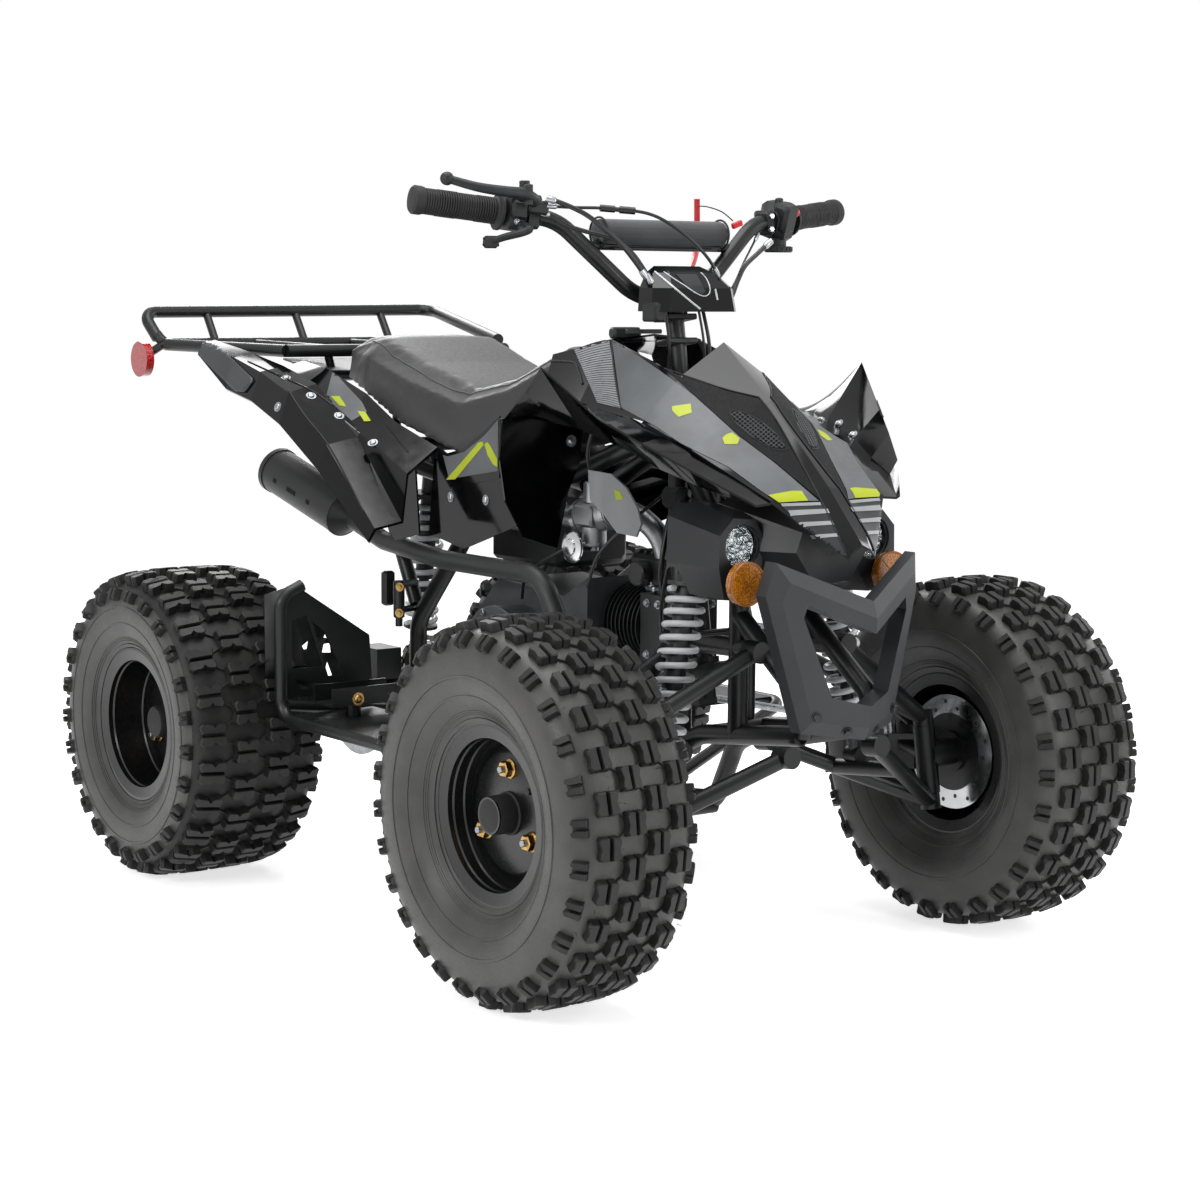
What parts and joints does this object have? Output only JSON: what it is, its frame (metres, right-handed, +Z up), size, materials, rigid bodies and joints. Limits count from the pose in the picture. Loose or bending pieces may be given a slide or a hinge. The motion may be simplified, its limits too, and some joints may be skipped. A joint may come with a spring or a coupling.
{
  "type": "youth sport quad bike",
  "caption": "Small sport quad bike with knobbly tyres, wishbone front suspension, padded saddle, handlebar steering, foot wells and a tubular rear rack.",
  "frame": {"origin": "on the ground under the middle of the machine's length, on its centre line", "axes": "+X forward, +Y to the rider's left, +Z up"},
  "size_m": [1.4735, 0.9678, 1.021],
  "materials": {
    "frame_black": "satin black paint on steel tube",
    "silver_grey": "silver-grey metallic paint",
    "panel_grey": "moulded grey plastic with lime graphics",
    "black_plastic": "moulded black plastic",
    "tyre_rubber": "moulded knobbly rubber",
    "rim_black": "satin black pressed steel",
    "seat_vinyl": "soft black vinyl over foam",
    "grip_rubber": "soft moulded rubber",
    "lamp_glass": "clear lens over a bright reflector",
    "amber_lens": "amber reflector plastic",
    "red_lens": "red reflector plastic",
    "cast_alloy": "sand-cast alloy, lightly painted",
    "bare_steel": "turned and plated steel",
    "exhaust_black": "heat-proof dark grey paint",
    "spring_white": "powder-coated spring steel",
    "chain_steel": "oiled roller chain",
    "pad_grey": "woven cover over foam"
  },
  "bodies": {
    "chassis": {"frame": "frame_black", "rear_subframe": "frame_black", "front_bumper": "frame_black", "front_cowl": "panel_grey", "tank_cover": "panel_grey", "front_mask": "black_plastic", "headlamps": "lamp_glass", "amber_reflectors": "amber_lens", "side_reflectors": "red_lens", "front_fender_right": "panel_grey", "front_fender_left": "panel_grey", "seat": "seat_vinyl", "side_covers": "panel_grey", "rear_fender_right": "panel_grey", "rear_fender_left": "panel_grey", "tail_cover": "black_plastic", "tail_lamp": "red_lens", "rear_rack": "frame_black", "engine_crankcase": "cast_alloy", "engine_cylinder": "frame_black", "intake": "cast_alloy", "exhaust_pipe": "exhaust_black", "muffler": "exhaust_black", "swingarm": "frame_black", "rear_shock": "frame_black", "chain": "chain_steel", "rear_brake": "frame_black", "footrest_right": "frame_black", "footrest_left": "frame_black", "a_arms": "frame_black", "front_shocks": "frame_black", "front_springs": "spring_white", "rear_spring": "spring_white"},
    "steering": {"steering_column": "frame_black", "handlebar": "frame_black", "bar_pad": "pad_grey", "grips": "grip_rubber", "instrument_pod": "black_plastic", "controls_right": "black_plastic", "controls_left": "black_plastic", "control_cables": "grip_rubber"},
    "knuckle_left": {"knuckle_left": "frame_black"},
    "knuckle_right": {"knuckle_right": "frame_black"},
    "tie_rod_left": {"tie_rod_left": "bare_steel"},
    "tie_rod_right": {"tie_rod_right": "bare_steel"},
    "wheel_front_left": {"tyre_front_left": "tyre_rubber", "rim_front_left": "rim_black"},
    "wheel_front_right": {"tyre_front_right": "tyre_rubber", "rim_front_right": "rim_black"},
    "rear_axle": {"rear_axle": "bare_steel", "tyre_rear_left": "tyre_rubber", "rim_rear_left": "rim_black", "tyre_rear_right": "tyre_rubber", "rim_rear_right": "rim_black"}
  },
  "joints": [
    {"name": "steering_turn", "type": "hinge", "parent": "chassis", "child": "steering", "pos_m": [0.29525, 0, 0.815], "axis": [-0.1564, 0, 0.9877], "range_deg": [-30, 30]},
    {"name": "knuckle_left_turn", "type": "hinge", "parent": "chassis", "child": "knuckle_left", "pos_m": [0.49525, 0.288, 0.2415], "axis": [-0.1564, 0, 0.9877], "range_deg": [-30, 30]},
    {"name": "tie_rod_left_swing", "type": "hinge", "parent": "knuckle_left", "child": "tie_rod_left", "pos_m": [0.41154, 0.299, 0.25862], "axis": [-0.1564, 0, 0.9877], "range_deg": [-30, 30]},
    {"name": "wheel_front_left_spin", "type": "hinge", "parent": "knuckle_left", "child": "wheel_front_left", "pos_m": [0.49525, 0.38, 0.2415], "axis": [0, 1, 0], "continuous": true},
    {"name": "knuckle_right_turn", "type": "hinge", "parent": "chassis", "child": "knuckle_right", "pos_m": [0.49525, -0.288, 0.2415], "axis": [-0.1564, 0, 0.9877], "range_deg": [-30, 30]},
    {"name": "tie_rod_right_swing", "type": "hinge", "parent": "knuckle_right", "child": "tie_rod_right", "pos_m": [0.41154, -0.299, 0.25862], "axis": [-0.1564, 0, 0.9877], "range_deg": [-30, 30]},
    {"name": "wheel_front_right_spin", "type": "hinge", "parent": "knuckle_right", "child": "wheel_front_right", "pos_m": [0.49525, -0.38, 0.2415], "axis": [0, 1, 0], "continuous": true},
    {"name": "rear_axle_spin", "type": "hinge", "parent": "chassis", "child": "rear_axle", "pos_m": [-0.40475, 0, 0.2285], "axis": [0, 1, 0], "continuous": true}
  ],
  "couplings": [
    {"joint": "knuckle_left_turn", "follows": "steering_turn", "ratio": 1},
    {"joint": "tie_rod_left_swing", "follows": "steering_turn", "ratio": -1},
    {"joint": "knuckle_right_turn", "follows": "steering_turn", "ratio": 1},
    {"joint": "tie_rod_right_swing", "follows": "steering_turn", "ratio": -1}
  ]
}
